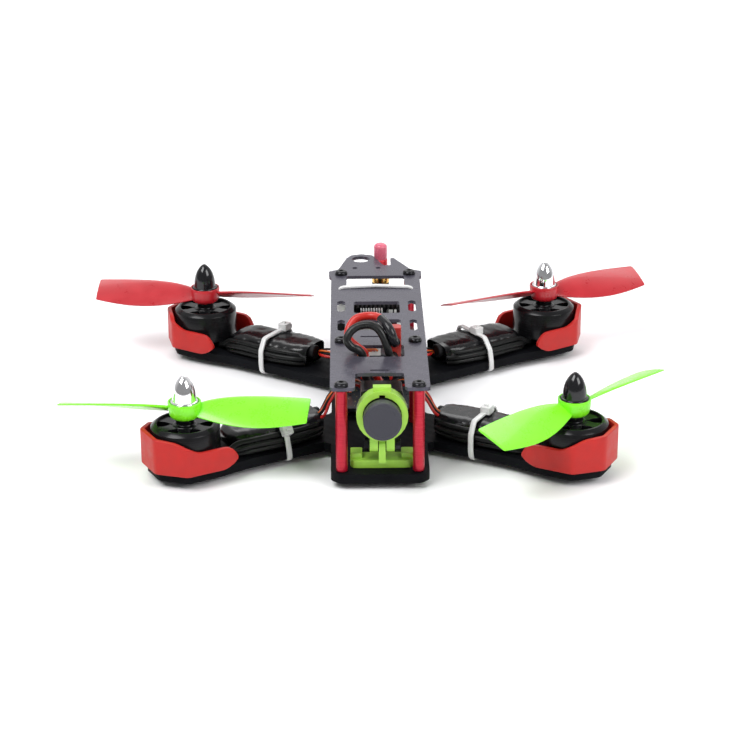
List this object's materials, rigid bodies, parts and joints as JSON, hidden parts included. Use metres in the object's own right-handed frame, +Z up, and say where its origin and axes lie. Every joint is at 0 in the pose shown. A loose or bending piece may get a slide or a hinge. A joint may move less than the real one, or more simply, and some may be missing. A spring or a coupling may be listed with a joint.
{
  "type": "racing quadcopter",
  "caption": "Compact X-frame racing quadcopter with twin-blade propellers, motor guards, a raised deck, a tilting nose camera and a looped battery lead.",
  "frame": {"origin": "the centre of the four motor axes, on the underside of the main plate", "axes": "-Y is the nose, where the camera looks; +X is the aircraft's own left; +Z is up, along the motor shafts"},
  "size_m": [0.2586, 0.2039, 0.0588],
  "materials": {
    "carbon": "woven carbon-fibre laminate, satin, with a faint twill",
    "deck": "carbon-fibre sheet under a satin grey film",
    "anodised": "turned aluminium, anodised crimson",
    "lime": "injection-moulded nylon, bright lime, glossy",
    "red": "injection-moulded nylon, red, glossy",
    "guard": "moulded plastic, red, satin",
    "mount": "moulded plastic, leaf green, satin",
    "black_metal": "machined aluminium, anodised black",
    "silver": "polished bare aluminium",
    "steel": "blackened steel",
    "black_plastic": "black heat-shrink and moulded plastic",
    "rubber": "soft black rubber",
    "nylon": "natural white nylon",
    "slate": "slate-grey moulded plastic",
    "board": "circuit board under dark solder mask",
    "cap_red": "translucent red vinyl",
    "copper": "enamelled copper windings on a laminated core",
    "white_plastic": "white moulded plastic",
    "silicone_red": "red silicone wire insulation",
    "silicone_black": "black silicone wire insulation"
  },
  "bodies": {
    "frame": {"main_plate": "carbon", "top_plate": "deck", "flight_controller": "board", "power_board": "board", "video_transmitter": "black_plastic", "radio_receiver": "white_plastic", "camera_base": "mount", "camera_pivot_screw": "steel", "battery_lead_red": "silicone_red", "battery_lead_black": "silicone_black", "battery_plug": "guard", "standoff_front_left": "anodised", "deck_screw_front_left": "steel", "standoff_front_right": "anodised", "deck_screw_front_right": "steel", "standoff_mid_left": "anodised", "deck_screw_mid_left": "steel", "standoff_mid_right": "anodised", "deck_screw_mid_right": "steel", "standoff_rear_left": "anodised", "deck_screw_rear_left": "steel", "standoff_rear_right": "anodised", "deck_screw_rear_right": "steel", "motor_guard_front_left": "guard", "motor_stator_front_left": "copper", "speed_controller_front_left": "black_plastic", "zip_tie_front_left": "nylon", "rubber_foot_front_left": "rubber", "motor_guard_front_right": "guard", "motor_stator_front_right": "copper", "speed_controller_front_right": "black_plastic", "zip_tie_front_right": "nylon", "rubber_foot_front_right": "rubber", "motor_guard_rear_left": "guard", "motor_stator_rear_left": "copper", "speed_controller_rear_left": "black_plastic", "zip_tie_rear_left": "nylon", "rubber_foot_rear_left": "rubber", "motor_guard_rear_right": "guard", "motor_stator_rear_right": "copper", "speed_controller_rear_right": "black_plastic", "zip_tie_rear_right": "nylon", "rubber_foot_rear_right": "rubber"},
    "rotor_front_left": {"motor_bell_front_left": "black_metal", "propeller_front_left": "lime", "prop_nut_front_left": "steel"},
    "rotor_front_right": {"motor_bell_front_right": "black_metal", "propeller_front_right": "lime", "prop_nut_front_right": "silver"},
    "rotor_rear_left": {"motor_bell_rear_left": "black_metal", "propeller_rear_left": "red", "prop_nut_rear_left": "silver"},
    "rotor_rear_right": {"motor_bell_rear_right": "black_metal", "propeller_rear_right": "red", "prop_nut_rear_right": "steel"},
    "camera": {"camera_ring": "mount", "camera_case": "black_plastic", "camera_lens": "black_plastic"},
    "lens_cap": {"lens_cap": "slate"},
    "antenna_cap": {"antenna_cap": "cap_red"}
  },
  "joints": [
    {"name": "rotor_spin_front_left", "type": "hinge", "parent": "frame", "child": "rotor_front_left", "pos_m": [0.0791, -0.0688, 0.0206], "axis": [0, 0, 1], "continuous": true},
    {"name": "rotor_spin_front_right", "type": "hinge", "parent": "frame", "child": "rotor_front_right", "pos_m": [-0.0791, -0.0688, 0.0206], "axis": [0, 0, 1], "continuous": true},
    {"name": "rotor_spin_rear_left", "type": "hinge", "parent": "frame", "child": "rotor_rear_left", "pos_m": [0.0791, 0.0688, 0.0206], "axis": [0, 0, 1], "continuous": true},
    {"name": "rotor_spin_rear_right", "type": "hinge", "parent": "frame", "child": "rotor_rear_right", "pos_m": [-0.0791, 0.0688, 0.0206], "axis": [0, 0, 1], "continuous": true},
    {"name": "camera_tilt", "type": "hinge", "parent": "frame", "child": "camera", "pos_m": [0.0008, -0.079, 0.0143], "axis": [-1, 0, 0], "range_deg": [-12, 25]},
    {"name": "lens_cap_pull", "type": "slide", "parent": "camera", "child": "lens_cap", "axis": [0, -0.9925, 0.1219], "range_m": [0, 0.007]},
    {"name": "antenna_cap_pull", "type": "slide", "parent": "frame", "child": "antenna_cap", "axis": [0, 0, 1], "range_m": [0, 0.008]}
  ]
}
